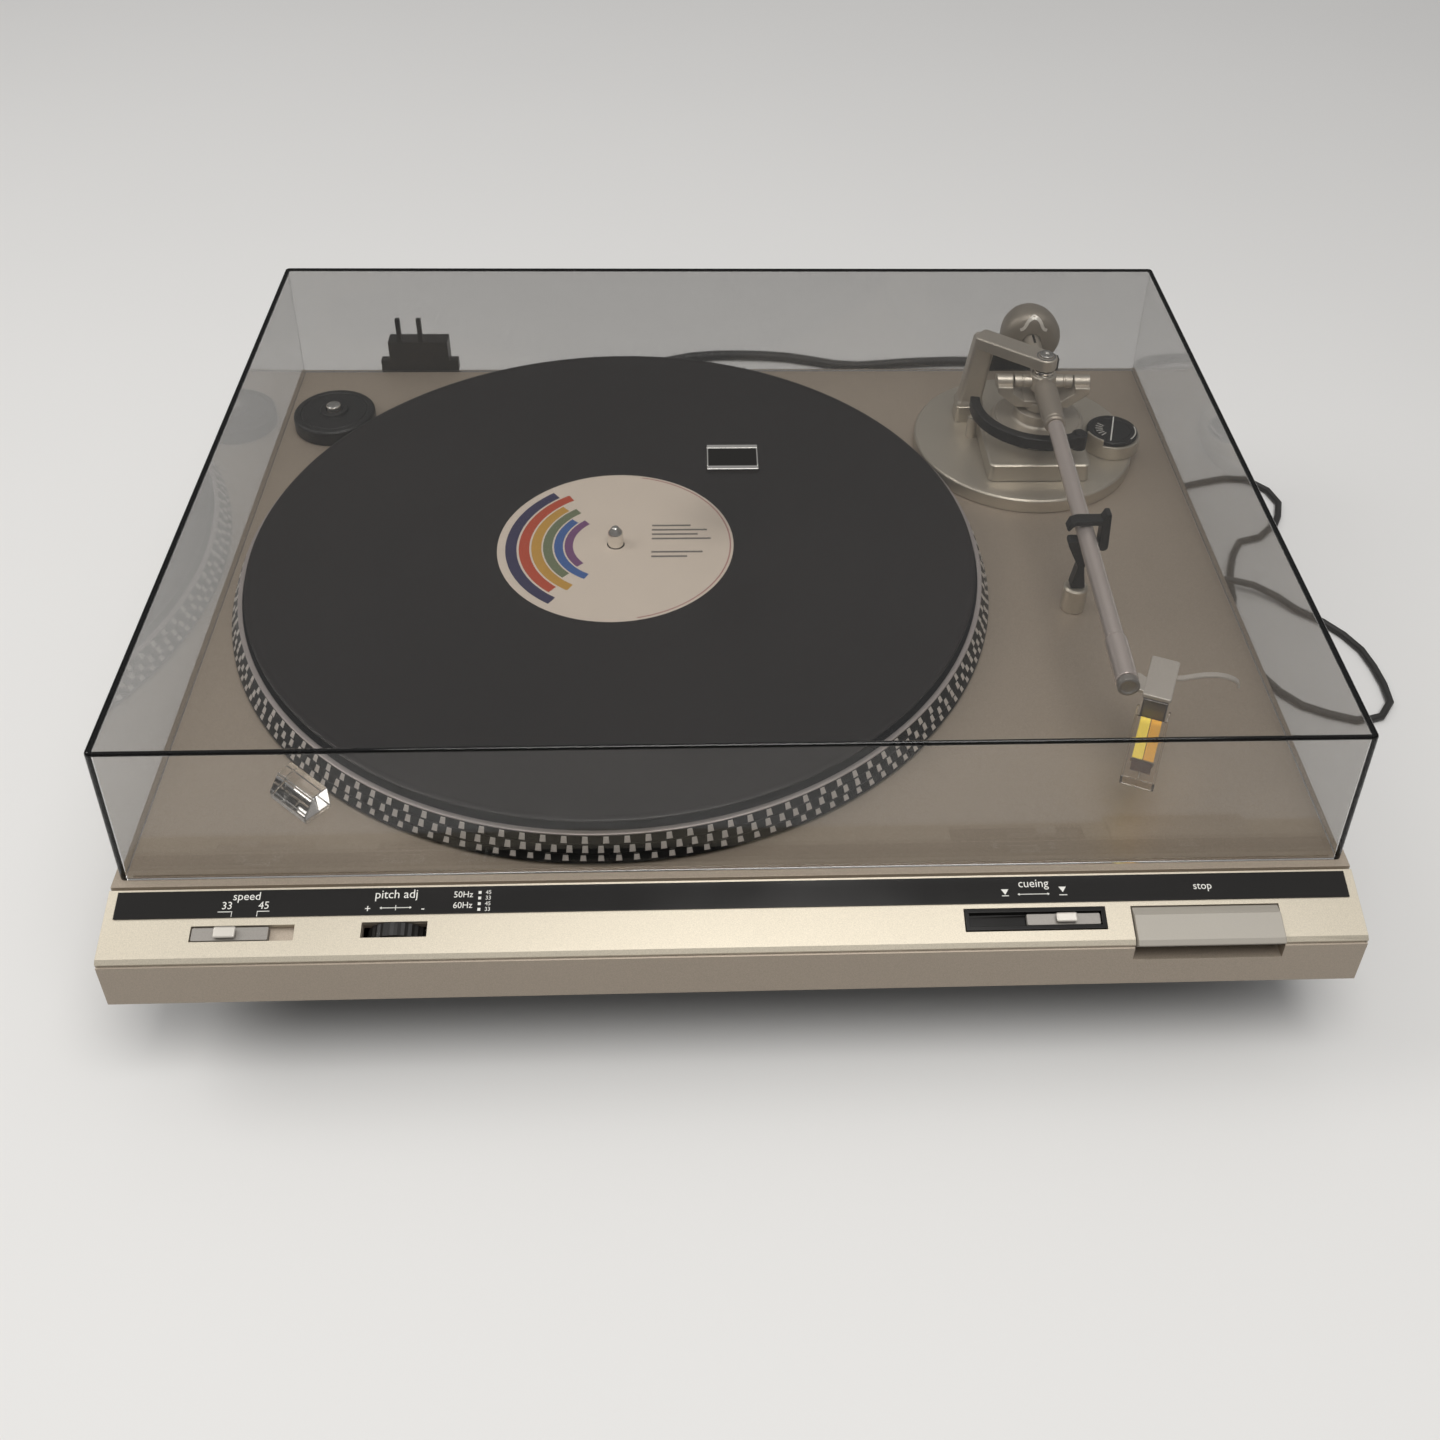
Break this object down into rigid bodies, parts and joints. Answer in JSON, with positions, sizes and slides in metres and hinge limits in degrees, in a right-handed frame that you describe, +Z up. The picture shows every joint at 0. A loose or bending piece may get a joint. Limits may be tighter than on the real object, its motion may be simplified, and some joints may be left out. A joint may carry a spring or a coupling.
{
  "type": "automatic turntable",
  "caption": "Automatic record turntable with a hinged clear dust cover, straight tonearm on a side pedestal, sloping front control panel, round feet, mains lead and signal lead.",
  "frame": {"origin": "under the middle of the case, on the surface that the feet stand on", "axes": "+Z up; +X to the user's right, seen from the front; +Y to the back, where the hinges and leads are"},
  "size_m": [0.5201, 0.4822, 0.1304],
  "materials": {
    "champagne_paint": "metallic champagne paint on a moulding",
    "panel_metal": "brushed, champagne tint",
    "black_gloss": "high gloss",
    "black_plastic": "satin",
    "dark_tray": "matte",
    "black_rubber": "matte",
    "smoked_clear": "clear, lightly smoked",
    "clear_plastic": "clear",
    "satin_alloy": "satin",
    "bright_metal": "polished",
    "vinyl": "pressed grooves",
    "knob_grey": "satin metallic",
    "yellow_stylus": "glossy",
    "cartridge_grey": "satin",
    "board": "printed board",
    "core_steel": "steel",
    "weight_metal": "satin champagne grey over metal",
    "cord_black": "matte",
    "platter_rim": "dark satin"
  },
  "bodies": {
    "case": {"plinth": "champagne_paint", "control_panel": "panel_metal", "fascia": "black_gloss", "bottom_tray": "dark_tray", "foot_fl": "black_rubber", "foot_fr": "black_rubber", "foot_bl": "black_rubber", "foot_br": "black_rubber", "hinge_base_l": "black_plastic", "hinge_base_r": "black_plastic", "bearing": "satin_alloy", "motor_frame": "core_steel", "transformer": "core_steel", "circuit_board": "board", "arm_base": "champagne_paint", "arm_riser": "champagne_paint", "arm_pedestal": "satin_alloy", "arm_bracket": "satin_alloy", "antiskate_housing": "champagne_paint", "rest_post": "champagne_paint", "rest_stem": "black_plastic", "strobe_prism": "clear_plastic", "pitch_carrier": "black_plastic", "cue_bezel": "black_plastic", "mains_relief": "cord_black", "mains_cord": "cord_black", "mains_coil": "cord_black", "mains_plug": "cord_black", "audio_relief": "cord_black", "audio_cord": "cord_black", "audio_coil": "cord_black", "audio_plug": "cord_black"},
    "cover": {"dust_cover": "smoked_clear", "cover_badge": "black_gloss", "hinge_holder_l": "black_plastic", "hinge_holder_r": "black_plastic"},
    "turning_platter": {"platter": "platter_rim", "platter_mat": "black_rubber", "record": "vinyl", "spindle": "bright_metal", "rotor": "core_steel"},
    "cam": {"return_cam": "black_plastic"},
    "arm_yoke": {"yoke": "satin_alloy"},
    "tonearm": {"gimbal_block": "satin_alloy", "arm_tube": "bright_metal", "headshell": "satin_alloy", "finger_lift": "bright_metal", "cartridge": "cartridge_grey", "stylus": "yellow_stylus"},
    "weight": {"counterweight": "weight_metal"},
    "guard": {"stylus_guard": "clear_plastic"},
    "clip": {"rest_clip": "black_plastic"},
    "lifter": {"lifter_bar": "black_plastic"},
    "cue_knob": {"cue_slider": "knob_grey"},
    "speed_knob": {"speed_slider": "knob_grey"},
    "pitch_knob": {"pitch_wheel": "black_plastic"},
    "stop_key": {"stop_button": "knob_grey"},
    "antiskate_knob": {"antiskate_dial": "black_plastic"},
    "single_adapter": {"adapter_45": "black_plastic"}
  },
  "joints": [
    {"name": "cover_hinge", "type": "hinge", "parent": "case", "child": "cover", "pos_m": [0, 0.178, 0.0662], "axis": [-1, 0, 0], "range_deg": [0, 75]},
    {"name": "platter_spin", "type": "hinge", "parent": "case", "child": "turning_platter", "pos_m": [-0.0487, 0.0022, 0.08], "axis": [0, 0, 1], "continuous": true},
    {"name": "cam_turn", "type": "hinge", "parent": "case", "child": "cam", "pos_m": [0.062, -0.03, 0.0562], "axis": [0, 0, 1], "continuous": true},
    {"name": "arm_swing", "type": "hinge", "parent": "case", "child": "arm_yoke", "pos_m": [0.1457, 0.0896, 0.111], "axis": [0, 0, -1], "range_deg": [0, 50]},
    {"name": "arm_lift", "type": "hinge", "parent": "arm_yoke", "child": "tonearm", "pos_m": [0.1457, 0.0896, 0.111], "axis": [-0.9996, 0.0293, 0], "range_deg": [0, 3]},
    {"name": "counterweight_turn", "type": "hinge", "parent": "tonearm", "child": "weight", "pos_m": [0.1457, 0.0896, 0.111], "axis": [-0.0293, -0.9996, 0], "range_deg": [-170, 170]},
    {"name": "guard_flip", "type": "hinge", "parent": "tonearm", "child": "guard", "pos_m": [0.1492, -0.1182, 0.1012], "axis": [-0.9213, 0.3888, 0], "range_deg": [0, 40]},
    {"name": "clip_open", "type": "hinge", "parent": "case", "child": "clip", "pos_m": [0.1505, -0.0229, 0.1042], "axis": [0, 1, 0], "range_deg": [0, 70]},
    {"name": "lifter_rise", "type": "slide", "parent": "case", "child": "lifter", "axis": [0, 0, 1], "range_m": [0, 0.0055]},
    {"name": "cue_slide", "type": "slide", "parent": "case", "child": "cue_knob", "axis": [-1, 0, 0], "range_m": [0, 0.017]},
    {"name": "speed_slide", "type": "slide", "parent": "case", "child": "speed_knob", "axis": [1, 0, 0], "range_m": [0, 0.008]},
    {"name": "pitch_turn", "type": "hinge", "parent": "case", "child": "pitch_knob", "pos_m": [-0.1177, -0.175, 0.0558], "axis": [0, 0.9539, 0.3], "range_deg": [-150, 150]},
    {"name": "stop_press", "type": "slide", "parent": "case", "child": "stop_key", "axis": [0, 0.3, -0.9539], "range_m": [0, 0.0016], "stiffness_N_per_m": 400, "springref_m": -0.001},
    {"name": "antiskate_turn", "type": "hinge", "parent": "case", "child": "antiskate_knob", "pos_m": [0.1813, 0.0863, 0.085], "axis": [0, 0, 1], "range_deg": [-135, 135]},
    {"name": "adapter_lift", "type": "slide", "parent": "case", "child": "single_adapter", "axis": [0, 0, 1], "range_m": [0, 0.02]}
  ],
  "couplings": [
    {"joint": "clip_open", "follows": "arm_lift", "ratio": 23.3},
    {"joint": "cue_slide", "follows": "lifter_rise", "ratio": 3.09}
  ]
}
